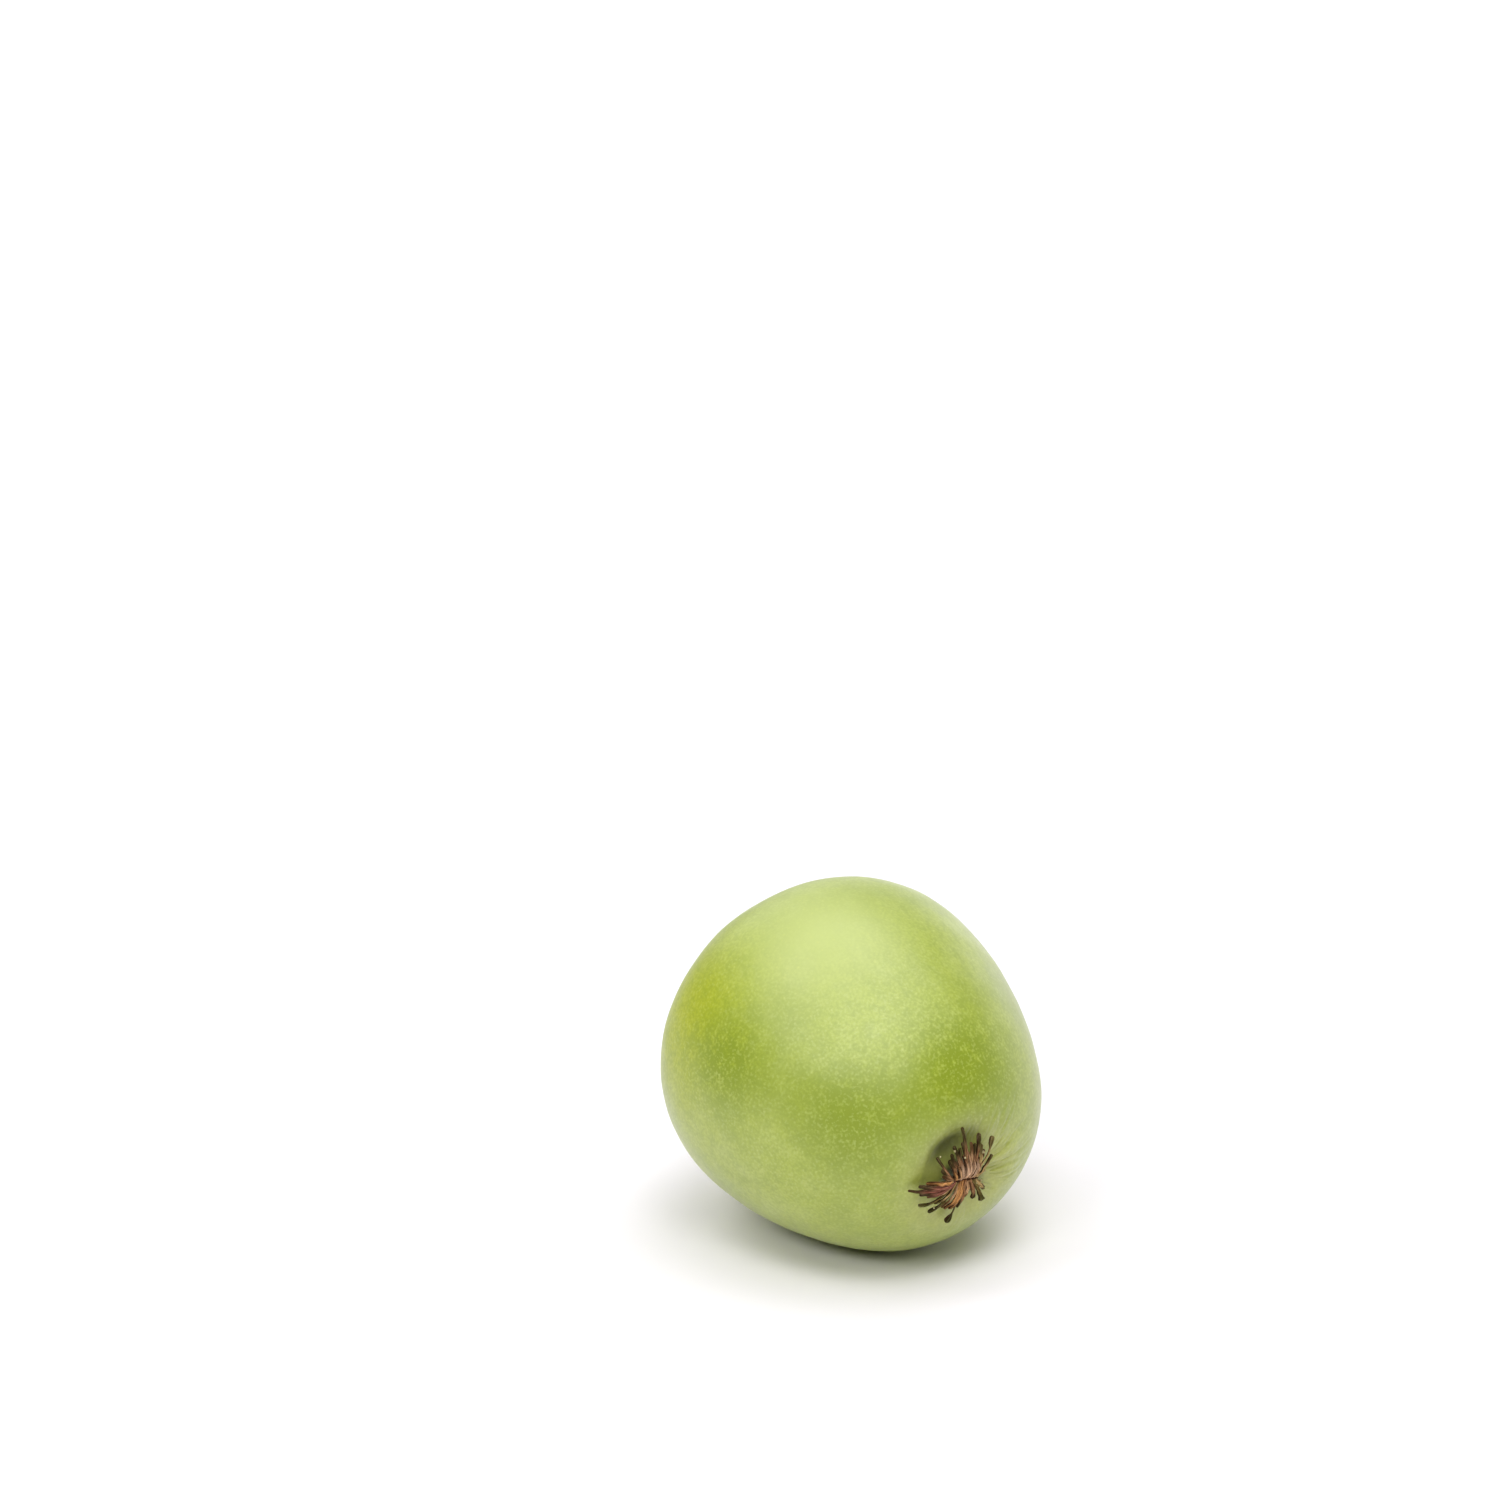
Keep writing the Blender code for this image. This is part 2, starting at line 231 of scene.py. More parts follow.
# Tones of a style's shaft and tip, and of the tuft's other parts, linear
TONES = {
    "straw": ((0.60, 0.43, 0.18), (0.12, 0.095, 0.028)),
    "tan": ((0.54, 0.32, 0.16), (0.15, 0.08, 0.03)),
    "pink": ((0.64, 0.42, 0.27), (0.28, 0.15, 0.075)),
    "rust": ((0.62, 0.31, 0.11), (0.16, 0.07, 0.02)),
    "plum": ((0.34, 0.125, 0.085), (0.060, 0.040, 0.014)),
    "umber": ((0.36, 0.185, 0.085), (0.055, 0.042, 0.010)),
    "olive": ((0.16, 0.12, 0.032), (0.060, 0.060, 0.012)),
}
# Painted shade in the styles' grooves, on their undersides and at their roots
PAINTED_SHADE_TONE = (0.045, 0.018, 0.006)
PAD_TONE = (0.06, 0.024, 0.009)
CRUMB_TONE = (0.62, 0.55, 0.30)

# Grain of the skin and the styles: repeats per millimetre, and detail. The fibres have coordinates
# of their own, drawn out along each style.
PATCH_NOISE = (0.16, 2.0)
CLOUD_NOISE = (0.55, 3.0)
STREAK_NOISE = (0.9, 3.0)
STREAK_STRETCH = (0.12, 1.0, 1.0)
MOTTLE_NOISE = (1.4, 3.0)
GRAIN_NOISE = (4.8, 2.0)
ROUGH_NOISE = (1.2, 3.0)
PORE_NOISE = (6.0, 2.0)
DOT_SCALE = 2.6
FIBRE_NOISE = (3.2, 4.0)
SPECK_NOISE = (12.0, 3.0)

# How each of them colours the surface: the value where it begins, where it is full, and strength
PATCH_DEEP = (0.40, 0.68, 0.5)
CLOUD_PALE = (0.42, 0.75, 0.25)
STREAK_DEEP = (0.50, 0.80, 0.30)
# Unevenness of the painted shade in those patches
UNEVEN_SHADE = (0.55, 1.15, 1.25)
MOTTLE_DEEP = (0.44, 0.68, 0.35)
GRAIN_DEEP = (0.46, 0.66, 0.40)
GRAIN_PALE = (0.48, 0.32, 0.24)
DOT_PALE = (0.34, 0.08, 0.4)
FIBRE_TO_DARK = (0.40, 0.62, 0.8)
FIBRE_TO_LIGHT = (0.46, 0.30, 0.7)
SPECK_TO_DARK = (0.50, 0.70, 0.5)

# Colours of the two ends: places along the axis, then distances from it, where each begins and is
# full, in millimetres, and strength
STYLE_END = (4.0, 8.0)
STEM_END = (-8.0, -10.0)
TAN_RING = (6.5, 2.2, 0.40)
# Olive around the tuft's root: darker skin with painted shade under the tuft
ROOT_SHADE = (2.2, 0.9)
SCAR_HALO = (3.0, 2.0, 0.6)
SCAR_EDGE = (2.1, 1.75)
SCAR_CRACK = (1.9, 1.3)
CRACK_UNEVENNESS = 0.8

# Gloss and relief. The wax is thinner on the yellower area, on the patches of painted shade,
# on the slope of the dimple and on the scar.
WAX_LOSS = 0.85
WAX_ROUGHNESS = 0.44
SKIN_ROUGHNESS = 0.44
ROUGHNESS_RANGE = 0.08
ROUGH_SPAN = (0.2, 0.8)
SCAR_ROUGHNESS = 0.35
GRAIN_RELIEF = 0.5
SPECK_RELIEF = 0.5

# Camera: the fruit's middle is at this pixel of the square frame, at this scale. The clip
# distances are in metres.
FRAME_PIXELS = 1500.0
SENSOR_MM = 36.0
LENS_MM = 100.0
FRUIT_PIXEL = (861.2, 1073.5)
PIXELS_PER_MM = 14.12
CAMERA_PITCH_DEG = 16.0
CAMERA_TURN_DEG = 56.87
NEAR_CLIP = 0.01
FAR_CLIP = 20.0

# Studio: half size of the floor in metres, and the soft panels of light around the fruit: turn to
# the right of the camera's direction, height, half angle in degrees, and brightness. A least-squares
# fit to the photograph's colours picked these panels from a set of trial ones and worked out their
# brightness. Only the panel at turn 80 was added.
FLOOR_HALF = 3.0
PANELS = (
    (330.0, 34.0, 34.0, 1.29),
    (15.0, 8.0, 32.0, 1.17),
    (45.0, 8.0, 32.0, 0.83),
    (80.0, 10.0, 32.0, 0.80),
    (0.0, 77.0, 16.0, 1.97),
    (60.0, 77.0, 16.0, 1.93),
    (20.0, 62.0, 18.0, 1.04),
    (60.0, 62.0, 18.0, 1.62),
    (100.0, 62.0, 18.0, 2.30),
    (180.0, 62.0, 18.0, 5.29),
    (260.0, 62.0, 18.0, 3.92),
    (185.0, 36.0, 12.0, 5.24),
    (210.0, 36.0, 12.0, 8.45),
    (235.0, 36.0, 12.0, 5.91),
    (135.0, 60.0, 12.0, 2.25),
    (160.0, 60.0, 12.0, 3.31),
    (140.0, 74.0, 12.0, 1.99),
)


def bump(distance, radius):
    """A smooth hump of height 1 that fades out beyond radius."""
    return np.exp(-((distance / radius) ** 2))


def outline(t):
    """Distance along the axis and relative half width at t, from style end (0) to stem end (pi)."""
    c = np.cos(t)
    fullness = 1.0 - TAPER * c + BLUNTNESS * c * c + SHOULDER * c ** 3
    return HALF_LENGTH * c, np.sin(t) * fullness


def radius_around(turn):
    """Half width of the oval section at a turn about the axis."""
    return np.hypot(HALF_WIDTH * np.cos(turn), HALF_HEIGHT * np.sin(turn))


def dimple_relief(from_axis, turn):
    """How far the creased dimple stands out along the axis from the plain outline."""
    wave = sum(np.cos(count * turn + count) for count in CREASE_COUNTS) / len(CREASE_COUNTS)
    reach = from_axis / CREASE_RADIUS
    side = 0.6 + 0.4 * np.cos(turn - math.radians(CREASE_SIDE_DEG))
    crease = CREASE_DEPTH * side * wave * reach * reach * np.exp(1.0 - reach * reach)
    return crease - DIMPLE_DEPTH * bump(from_axis, DIMPLE_RADIUS)


def hollow_relief(from_axis, turn):
    """How far the skin sinks in the hollow on the upper side of the dimple."""
    towards = np.maximum(0.0, np.cos(turn - math.radians(HOLLOW_TURN_DEG)))
    return -HOLLOW_DEPTH * towards ** HOLLOW_FADE * bump(from_axis - HOLLOW_REACH, HOLLOW_WIDTH)


def stem_end_relief(from_axis):
    """How far the basin and the scar's rim stand out along the axis from the plain outline."""
    rim = SCAR_HEIGHT * bump(from_axis - SCAR_RADIUS, SCAR_RIM_WIDTH)
    return rim - BASIN_DEPTH * bump(from_axis, BASIN_RADIUS)


def skin_points(t, turn):
    """Points of the skin in the fruit's own frame, for arrays of t and turn."""
    along, out = outline(t)
    ridge = sum(height * np.cos(count * turn + start) for count, height, start in RIDGES)
    from_axis = radius_around(turn) * out * (1.0 + ridge * np.sin(t))
    dimple = dimple_relief(from_axis, turn) + hollow_relief(from_axis, turn)
    relief = np.where(along > 0.0, dimple, -stem_end_relief(from_axis))
    y = from_axis * np.cos(turn)
    z = from_axis * np.sin(turn)
    return np.stack(np.broadcast_arrays(along + relief, y, z), axis=-1)


def skin_level(y, z):
    """How far along the axis the skin of the style end lies, at a place beside the axis."""
    from_axis = math.hypot(y, z)
    turn = math.atan2(z, y)
    low, high = 0.0, 0.5 * math.pi
    for _ in range(40):
        middle = 0.5 * (low + high)
        if radius_around(turn) * outline(middle)[1] < from_axis:
            low = middle
        else:
            high = middle
    return float(skin_points(low, turn)[0])


def rest_level(y, z):
    """The level that the tuft rests over: the skin's, as if the hollow were not there."""
    from_axis = math.hypot(y, z)
    return skin_level(y, z) - float(hollow_relief(from_axis, math.atan2(z, y)))


def fruit_to_row():
    """Transform from the fruit's own frame, in millimetres, to the model's frame, in metres."""
    lean = Matrix.Rotation(math.radians(LEAN_DEG), 4, "Y")
    steps = np.linspace(0.0, math.pi, 721)[1:-1]
    belly = skin_points(steps, -0.5 * math.pi) @ np.array(lean.to_3x3()).T
    lowest = belly[np.argmin(belly[:, 2])]
    place = Matrix.Translation((-lowest[0], 0.0, -lowest[2] - REST_SINK))
    return Matrix.Scale(MM, 4) @ place @ lean


def to_frame(points, matrix):
    """Points moved by a 4 by 4 matrix."""
    m = np.array(matrix)
    return points @ m[:3, :3].T + m[:3, 3]


def make_object(name, points, faces, material):
    """A smooth mesh object with one material."""
    mesh = bpy.data.meshes.new(name)
    mesh.from_pydata([tuple(p) for p in points], [], faces)
    mesh.validate()
    mesh.shade_smooth()
    mesh.materials.append(material)
    made = bpy.data.objects.new(name, mesh)
    bpy.context.scene.collection.objects.link(made)
    return made


def tube_faces(first, rings, sides):
    """Quads between neighbouring rings of points, then fans to the two end points after them."""
    faces = []
    for i in range(rings - 1):
        low = first + i * sides
        for j in range(sides):
            k = (j + 1) % sides
            faces.append((low + j, low + k, low + sides + k, low + sides + j))
    start = first + rings * sides
    last = first + (rings - 1) * sides
    for j in range(sides):
        k = (j + 1) % sides
        faces.append((first + k, first + j, start))
        faces.append((last + j, last + k, start + 1))
    return faces


def wrinkles(from_axis, turn):
    """Fine uneven wrinkles on the slope of the dimple, strongest on the creased side."""
    reach = from_axis / WRINKLE_RADIUS
    strength = reach * reach * np.exp(1.0 - reach * reach)
    side = np.clip(0.4 + 0.6 * np.cos(turn - math.radians(CREASE_SIDE_DEG)), 0.1, 1.0)
    wave = np.zeros_like(turn)
    for i in np.argwhere(strength > WRINKLE_LEAST):
        i = tuple(i)
        around = Vector((math.cos(turn[i]), math.sin(turn[i]), 0.05 * from_axis[i]))
        fold = abs(noise.noise(around * FOLD_SCALE))
        pleat = abs(noise.noise(around * PLEAT_SCALE))
        wave[i] = -max(0.0, 1.0 - fold / FOLD_WIDTH) - 0.5 * max(0.0, 1.0 - pleat / PLEAT_WIDTH)
    return WRINKLE_DEPTH * strength * side * wave


def berry_points():
    """The skin's rings of points in the fruit's own frame, with its fine form, and its two ends."""
    share = np.arange(1, RINGS) / RINGS
    ring_t = math.pi * share - 0.5 * END_CROWDING * np.sin(2.0 * math.pi * share)
    ring_turn = 2.0 * math.pi * np.arange(COLUMNS) / COLUMNS
    t, turn = np.meshgrid(ring_t, ring_turn, indexing="ij")
    points = skin_points(t, turn)
    from_axis = np.hypot(points[..., 1], points[..., 2])
    style_end = points[..., 0] > 0.0
    points[..., 0] += wrinkles(from_axis, turn) * style_end
    scar = SCAR_GRAIN * bump(from_axis, SCAR_GRAIN_REACH * SCAR_RADIUS) * ~style_end
    points = points.reshape(-1, 3)
    scar = scar.reshape(-1)
    for i, p in enumerate(points):
        place = Vector(p) / SWELLING_SIZE
        swell = noise.noise(place) + 0.5 * noise.noise(place * SWELLING_DETAIL)
        points[i] = p * (1.0 + SWELLING_HEIGHT * swell / np.linalg.norm(p))
        points[i, 0] -= scar[i] * noise.noise(place * SCAR_GRAIN_DETAIL)
    ends = np.stack((skin_points(0.0, 0.0), skin_points(math.pi, 0.0)))
    return np.vstack((points, ends))


def make_berry(to_row, material):
    """The whole skin, flat where it touches the floor."""
    points = to_frame(berry_points(), to_row)
    points[:, 2] = np.maximum(points[:, 2], 0.0)
    berry = make_object("berry_skin", points, tube_faces(0, RINGS - 1, COLUMNS), material)
    berry.data.flip_normals()
    return berry


class TuftMesh:
    """Collects the closed bodies of the tuft, with each point's colour and place in the fibres."""

    def __init__(self):
        self.points = []
        self.faces = []
        self.colours = []
        self.fibres = []

    def add(self, rings, ends, colours, fibres):
        """Add a closed tube: rings of points, two end points, and the two values of each point."""
        self.faces += tube_faces(len(self.points), len(rings), len(rings[0]))
        for ring in rings:
            self.points += ring
        self.points += ends
        self.colours += colours
        self.fibres += fibres

    def build(self, to_row, material):
        """The tuft as one object, with its colours and fibre places as attributes."""
        made = make_object("dried_tuft", to_frame(np.array(self.points), to_row), self.faces, material)
        tone = made.data.color_attributes.new("tone", "FLOAT_COLOR", "POINT")
        tone.data.foreach_set("color", np.array([(*c, 1.0) for c in self.colours]).ravel())
        fibre = made.data.attributes.new("fibre", "FLOAT_VECTOR", "POINT")
        fibre.data.foreach_set("vector", np.array(self.fibres).ravel())
        return made


def blend(a, b, share):
    """Colour a, and colour b where share is 1."""
    return tuple((1.0 - share) * x + share * y for x, y in zip(a, b))


def smooth(value, start, end):
    """0 at start and 1 at end, with a soft change between."""
    share = min(1.0, max(0.0, (value - start) / (end - start)))
    return share * share * (3.0 - 2.0 * share)


def parting_point(along, across):
    """Place by its distances along and across the parting line, as (y, z) in the fruit's frame."""
    turn = math.radians(PARTING_TURN_DEG)
    along += PARTING_SHIFT
    y = along * math.cos(turn) - across * math.sin(turn)
    z = along * math.sin(turn) + across * math.cos(turn)
    return y, z


def style_point(root, turn, reach, lift, bend, share):
    """Point of a style's middle line, from its root at the parting line (0) to its tip (1)."""
    upper = math.sin(turn - math.radians(PARTING_TURN_DEG)) > 0.0
    root_y, root_z = parting_point(root, ROOT_SPREAD if upper else -ROOT_SPREAD)
    sway = bend * math.sin(math.pi * share)
    y = root_y + (reach * math.cos(turn) - root_y) * share - sway * math.sin(turn)
    z = root_z + (reach * math.sin(turn) - root_z) * share + sway * math.cos(turn)
    height = ROOT_HEIGHT + (TIP_HEIGHT - ROOT_HEIGHT) * share + lift * math.sin(math.pi * share)
    return Vector((rest_level(y, z) + GAP + height, y, z))


def style_sections(length, club):
    """Places along a style and how much it has closed there, with a rounded tip."""
    cap = TIP_ROUNDING * club / length
    for i in range(STYLE_STEPS):
        yield (1.0 - cap) * i / (STYLE_STEPS - 1), 1.0
    for i in range(1, TIP_STEPS + 1):
        angle = 0.5 * math.pi * i / (TIP_STEPS + 1)
        yield 1.0 - cap + cap * math.sin(angle), math.cos(angle)


def add_style(tuft, draw, root, turn_deg, reach, lift, bend, width, club, tone):
    """One shrivelled style: a flattened, grooved and slightly twisted tube with a blunt tip."""
    place = (root, math.radians(turn_deg), reach, lift, bend)
    grooves = draw.choice(GROOVE_COUNTS)
    start = draw.uniform(0.0, GROOVE_START_MOST)
    twist = draw.uniform(-TWIST_MOST, TWIST_MOST)
    shade = draw.uniform(*SHADE_SPAN)
    seed = draw.uniform(0.0, NOISE_START_MOST)
    shaft_tone, tip_tone = TONES[tone]
    rings = []
    colours = []
    fibres = []
    for share, closing in style_sections(reach, club):
        middle = style_point(*place, share)
        ahead = style_point(*place, share + STEP_AHEAD) - middle
        side = Vector((1.0, 0.0, 0.0)).cross(ahead).normalized()
        rise = ahead.cross(side).normalized()
        swell = 1.0 + SWELL_HEIGHT * noise.noise(Vector((seed, 2.0, 5.0 * share)))
        wide = (width * swell + (club - width) * smooth(share, *CLUB_SPAN)) * closing
        thick = wide * (THICKNESS if width < WIDE_SHAFT else WIDE_THICKNESS)
        middle += side * (SIDE_WOBBLE * width * noise.noise(Vector((seed, 0.0, 6.0 * share))))
        middle += rise * (RISE_WOBBLE * width * noise.noise(Vector((seed, 9.0, 4.0 * share))))
        shaft = blend(shaft_tone, tip_tone, smooth(share, *TIP_TONE_SPAN))
        ring = []
        for k in range(STYLE_SIDES):
            angle = 2.0 * math.pi * k / STYLE_SIDES
            groove = math.cos(grooves * angle + start + twist * share)
            lump = noise.noise(Vector((seed, 2.0 * math.cos(angle), 12.0 * share + math.sin(angle))))
            out = 0.5 * (1.0 + GROOVE_DEPTH * groove * closing + LUMP_HEIGHT * lump)
            across = side * (wide * math.cos(angle)) + rise * (thick * math.sin(angle))
            ring.append(middle + across * out)
            # Painted shade: the underside and the grooves of the style fall to a dark tone, the upper
            # side keeps its own
            lit_share = smooth(math.sin(angle) + 0.5 * groove, *SHADE_TO_LIT_SPAN)
            colours.append(blend(PAINTED_SHADE_TONE, tuple(shade * c for c in shaft), lit_share))
            strand = FIBRE_STRETCH * share * reach
            fibres.append((seed + math.cos(angle), math.sin(angle), strand))
        rings.append(ring)
    ends = [style_point(*place, 0.0), style_point(*place, 1.0)]
    # The root end point is in painted shade
    colours += [PAINTED_SHADE_TONE, tip_tone]
    fibres += [(seed, 0.0, 0.0), (seed, 0.0, FIBRE_STRETCH * reach)]
    tuft.add(rings, ends, colours, fibres)


def add_pad(tuft):
    """Low oval pad that the styles grow from, with a rough edge."""
    bottom = skin_level(*parting_point(0.0, 0.0)) + GAP
    rings = []
    for i in range(PAD_RINGS):
        climb = math.pi * i / (PAD_RINGS - 1)
        scale = PAD_END_SCALE + (1.0 - PAD_END_SCALE) * math.sin(climb) ** PAD_ROUNDNESS
        ring = []
        for k in range(PAD_SIDES):
            angle = 2.0 * math.pi * k / PAD_SIDES
            rough = 1.0 + sum(depth * math.cos(count * angle + start) for count, depth, start in PAD_EDGE)
            along = PAD_HALF_LENGTH * scale * rough * math.cos(angle)
            across = PAD_HALF_WIDTH * scale * rough * math.sin(angle)
            y, z = parting_point(along, across)
            level = max(bottom, skin_level(y, z) + GAP)
            ring.append(Vector((level + 0.5 * PAD_HEIGHT * (1.0 - math.cos(climb)), y, z)))
        rings.append(ring)
    y, z = parting_point(0.0, 0.0)
    ends = [Vector((bottom, y, z)), Vector((bottom + PAD_HEIGHT, y, z))]
    count = PAD_RINGS * PAD_SIDES + 2
    tuft.add(rings, ends, [PAD_TONE] * count, [(0.0, 0.0, 0.0)] * count)


def add_crumb(tuft, draw, reach, turn_deg, height, size):
    """A small pale lump caught between the styles."""
    turn = math.radians(turn_deg)
    y = reach * math.cos(turn)
    z = reach * math.sin(turn)
    middle = Vector((rest_level(y, z) + height, y, z))
    seed = draw.uniform(0.0, NOISE_START_MOST)
    rings = []
    for i in range(1, CRUMB_STEPS):
        polar = math.pi * i / CRUMB_STEPS
        ring = []
        for k in range(CRUMB_SIDES):
            angle = 2.0 * math.pi * k / CRUMB_SIDES
            flat = math.sin(polar)
            way = Vector((math.cos(polar), flat * math.cos(angle), flat * math.sin(angle)))
            spot = way * CRUMB_DETAIL + Vector((seed, 0.0, 0.0))
            lump = 1.0 + CRUMB_ROUGHNESS * noise.noise(spot)
            ring.append(middle + way * (0.5 * size * lump))
        rings.append(ring)
    ends = [middle + Vector((0.5 * size, 0.0, 0.0)), middle - Vector((0.5 * size, 0.0, 0.0))]
    count = (CRUMB_STEPS - 1) * CRUMB_SIDES + 2
    tuft.add(rings, ends, [CRUMB_TONE] * count, [(seed, 0.0, 0.0)] * count)


def make_tuft(to_row, material):
    """The whole tuft: pad, styles and crumbs."""
    draw = random.Random(TUFT_SEED)
    tuft = TuftMesh()
    add_pad(tuft)
    for style in STYLES:
        add_style(tuft, draw, *style)
    for crumb in CRUMBS:
        add_crumb(tuft, draw, *crumb)
    return tuft.build(to_row, material)


class Tree:
    """The node tree of a material or world, with short calls for the nodes that are used here."""

    def __init__(self, owner):
        owner.use_nodes = True
        self.tree = owner.node_tree
        self.tree.nodes.clear()

    def add(self, kind, inputs, **settings):
        """Add a node with its settings and inputs, and return it."""
        made = self.tree.nodes.new("ShaderNode" + kind)
        for name, value in settings.items():
            setattr(made, name, value)
        for key, value in inputs.items():
            if isinstance(value, bpy.types.NodeSocket):
                self.tree.links.new(value, made.inputs[key])
            else:
                made.inputs[key].default_value = value
        return made

    def math(self, operation, a, b=0.0):
        """The result of one operation on two values."""
        return self.add("Math", {0: a, 1: b}, operation=operation).outputs[0]

    def fade(self, value, start, end, top=1.0):
        """0 at start and top at end, with a soft change between."""
        inputs = {"Value": value, "From Min": start, "From Max": end, "To Max": top}
        return self.add("MapRange", inputs, interpolation_type="SMOOTHSTEP").outputs[0]

    def noise(self, where, scale, detail):
        """Soft noise between 0 and 1."""
        inputs = {"Vector": where, "Scale": scale, "Detail": detail}
        return self.add("TexNoise", inputs).outputs[0]

    def mix(self, share, a, b):
        """Colour a, and colour b where share is 1."""
        return self.add("Mix", {0: share, 6: a, 7: b}, data_type="RGBA").outputs[2]

    def stretch(self, where, scale):
        """Coordinates scaled along each axis."""
        return self.add("Mapping", {0: where, 3: scale}).outputs[0]

    def near(self, where, place, radius, top=1.0):
        """The value top at a place, fading to 0 at radius."""
        away = self.add("VectorMath", {0: where, 1: place}, operation="DISTANCE").outputs["Value"]
        return self.fade(away, radius, 0.0, top)

    def finish(self, shader):
        """Lead a shader to the material's surface."""
        self.add("OutputMaterial", {"Surface": shader})


def fruit_place(tree, to_row):
    """Texture coordinates in the fruit's own frame, in millimetres."""
    back = to_row.inverted()
    inputs = {
        0: tree.add("TexCoord", {}).outputs["Object"],
        1: back.to_translation(),
        2: back.to_euler(),
        3: back.to_scale(),
    }
    return tree.add("Mapping", inputs).outputs[0]


class Skin:
    """The skin's node tree with the values that its colours, its wax and its relief share."""

    def __init__(self, tree, to_row):
        self.tree = tree
        self.where = fruit_place(tree, to_row)
        self.along = tree.add("SeparateXYZ", {0: self.where}).outputs[0]
        flat = {0: self.where, 1: (0.0, 1.0, 1.0)}
        across = tree.add("VectorMath", flat, operation="MULTIPLY").outputs[0]
        self.from_axis = tree.add("VectorMath", {0: across}, operation="LENGTH").outputs["Value"]
        self.mottle = tree.noise(self.where, *MOTTLE_NOISE)
        self.grain = tree.noise(self.where, *GRAIN_NOISE)
        self.colour = SKIN_GREEN
        self.bare = 0.0

    def paint(self, share, colour):
        """Lay a colour over the skin where share is 1."""
        self.colour = self.tree.mix(share, self.colour, colour)

    def thin_wax(self, share):
        """Leave the skin bare of wax where share is 1."""
        self.bare = self.tree.math("MAXIMUM", self.bare, share)

    def paint_body(self):
        """Broad patches and streaks, the yellower area with painted reflection at the left rim, painted
        shade along the front band, the grain, and a painted highlight.
        """
        tree = self.tree
        patches = tree.noise(self.where, *PATCH_NOISE)
        clouds = tree.noise(self.where, *CLOUD_NOISE)
        streaks = tree.noise(tree.stretch(self.where, STREAK_STRETCH), *STREAK_NOISE)
        self.paint(tree.fade(patches, *PATCH_DEEP), SKIN_DEEP_AND_SHADE)
        self.paint(tree.fade(clouds, *CLOUD_PALE), SKIN_PALE_AND_HIGHLIGHT)
        self.paint(tree.fade(streaks, *STREAK_DEEP), SKIN_DEEP_AND_SHADE)
        # Yellower skin, and painted reflection of a neighbouring fruit at the left rim, with thinner wax
        # there
        yellow_and_reflection = tree.near(self.where, *YELLOW_AND_REFLECTION_PATCH)
        self.thin_wax(yellow_and_reflection)
        self.paint(yellow_and_reflection, SKIN_YELLOW_AND_REFLECTION)
        uneven = tree.fade(tree.math("ADD", self.mottle, self.grain), *UNEVEN_SHADE)
        # Painted shade along the front band, uneven inside each patch, with thinner wax there
        for patch in PAINTED_SHADE_PATCHES:
            share = tree.near(self.where, *patch)
            self.thin_wax(share)
            self.paint(tree.math("MULTIPLY", share, uneven), SKIN_DEEP_AND_SHADE)
        self.paint(tree.fade(self.mottle, *MOTTLE_DEEP), SKIN_DEEP_AND_SHADE)
        self.paint(tree.fade(self.grain, *GRAIN_DEEP), SKIN_DEEP_AND_SHADE)
        self.paint(tree.fade(self.grain, *GRAIN_PALE), SKIN_PALE_AND_HIGHLIGHT)
        # Painted highlight, laid last so that it smooths the grain under it
        self.paint(tree.near(self.where, *PAINTED_HIGHLIGHT_PATCH), SKIN_PALE_AND_HIGHLIGHT)

    def paint_dots(self):
        """Small pale dots of uneven strength."""
        dots = self.tree.add("TexVoronoi", {"Vector": self.where, "Scale": DOT_SCALE})
        strength = self.tree.add("SeparateColor", {0: dots.outputs["Color"]}).outputs[0]
        spot = self.tree.fade(dots.outputs["Distance"], *DOT_PALE)
        self.paint(self.tree.math("MULTIPLY", spot, strength), SKIN_DOT)

    def paint_style_end(self):
        """A tan ring on the dimple's slope, and darker olive skin with painted shade around the tuft's
        root and in the hollow.
        """
        tree = self.tree
        style_end = tree.fade(self.along, *STYLE_END)
        ring = tree.math("MULTIPLY", tree.fade(self.from_axis, *TAN_RING), style_end)
        self.paint(ring, SKIN_TAN)
        self.thin_wax(ring)
        # Darker olive skin with painted shade under the tuft and in the hollow beside it
        root = tree.math("MULTIPLY", tree.fade(self.from_axis, *ROOT_SHADE), style_end)
        self.paint(root, SKIN_OLIVE_AND_SHADE)
        self.paint(tree.near(self.where, *HOLLOW_SHADE_PATCH), SKIN_OLIVE_AND_SHADE)

    def paint_stem_end(self):
        """Cracked cork with a ragged edge and an olive halo. Returns the scar's own share."""
        tree = self.tree
        ragged = tree.math("ADD", self.from_axis, self.mottle)
        stem_end = tree.fade(self.along, *STEM_END)
        halo = tree.math("MULTIPLY", tree.fade(ragged, *SCAR_HALO), stem_end)
        self.paint(halo, SKIN_OLIVE_AND_SHADE)
        self.thin_wax(halo)
        scar = tree.math("MULTIPLY", tree.fade(ragged, *SCAR_EDGE), stem_end)
        cracked = tree.math("ADD", ragged, tree.math("MULTIPLY", self.grain, CRACK_UNEVENNESS))
        self.paint(scar, tree.mix(tree.fade(cracked, *SCAR_CRACK), CORK, CORK_DARK))
        self.thin_wax(scar)
        return scar

    def roughness(self, scar):
        """A little uneven all over, and dull on the scar."""
        tree = self.tree
        rough = tree.fade(tree.noise(self.where, *ROUGH_NOISE), *ROUGH_SPAN)
        uneven = tree.math("ADD", tree.math("MULTIPLY", rough, ROUGHNESS_RANGE), SKIN_ROUGHNESS)
        return tree.math("ADD", uneven, tree.math("MULTIPLY", scar, SCAR_ROUGHNESS))

